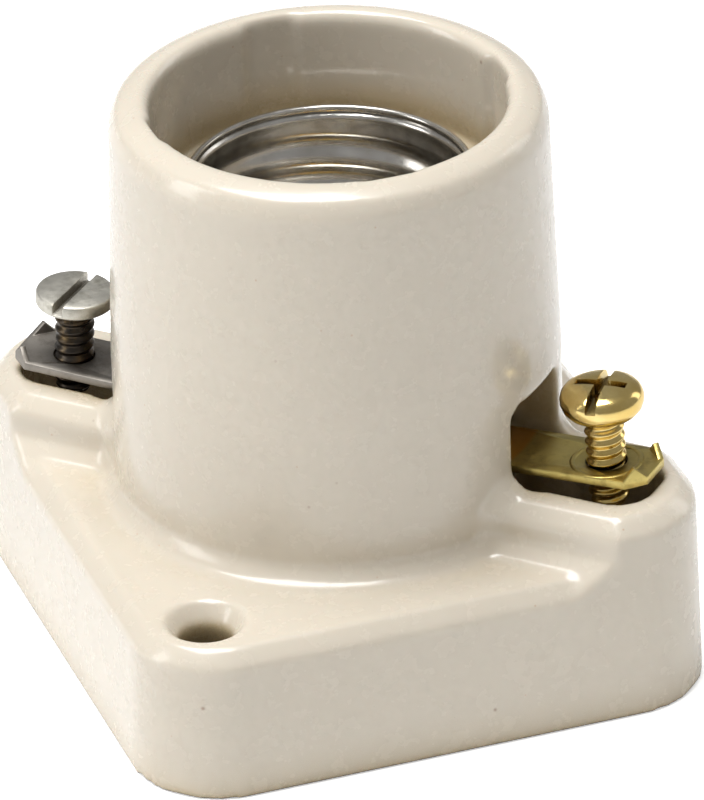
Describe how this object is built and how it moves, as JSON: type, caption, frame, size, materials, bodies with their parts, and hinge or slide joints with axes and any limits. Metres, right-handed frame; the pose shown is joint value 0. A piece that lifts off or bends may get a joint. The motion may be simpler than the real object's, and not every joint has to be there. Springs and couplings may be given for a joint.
{
  "type": "lamp holder",
  "caption": "Keyless surface-mount lamp holder: glazed porcelain tower on a square base, metal screw shell for a lamp cap, and screw terminals on opposite corners.",
  "frame": {"origin": "centre of the base's underside, on the tower's axis", "axes": "+Z out of the mouth; the base's sides lie along X and Y; the brass terminal stands over the +X -Y corner and the nickel one over -X +Y"},
  "size_m": [0.0572, 0.06, 0.0563],
  "materials": {
    "porcelain": "cream glaze",
    "nickel_plate": "nickel plated",
    "fibre": "vulcanised fibre",
    "brass": "polished",
    "steel": "nickel plated"
  },
  "bodies": {
    "holder": {"porcelain_body": "porcelain", "screw_shell": "nickel_plate", "insulating_disc": "fibre", "contact_terminal_strap": "brass", "shell_terminal_strap": "nickel_plate", "center_contact": "brass", "contact_rivet": "brass", "shell_strap_rivet": "brass", "shell_floor_rivet": "brass"},
    "brass_screw": {"brass_terminal_screw": "brass"},
    "nickel_screw": {"nickel_terminal_screw": "steel"}
  },
  "joints": [
    {"name": "brass_screw_advance", "type": "slide", "parent": "holder", "child": "brass_screw", "axis": [-0.0407, 0.0407, 0.9983], "range_m": [-0.00475, 0]},
    {"name": "nickel_screw_advance", "type": "slide", "parent": "holder", "child": "nickel_screw", "axis": [0.0432, -0.0381, 0.9983], "range_m": [-0.0055, 0]}
  ]
}
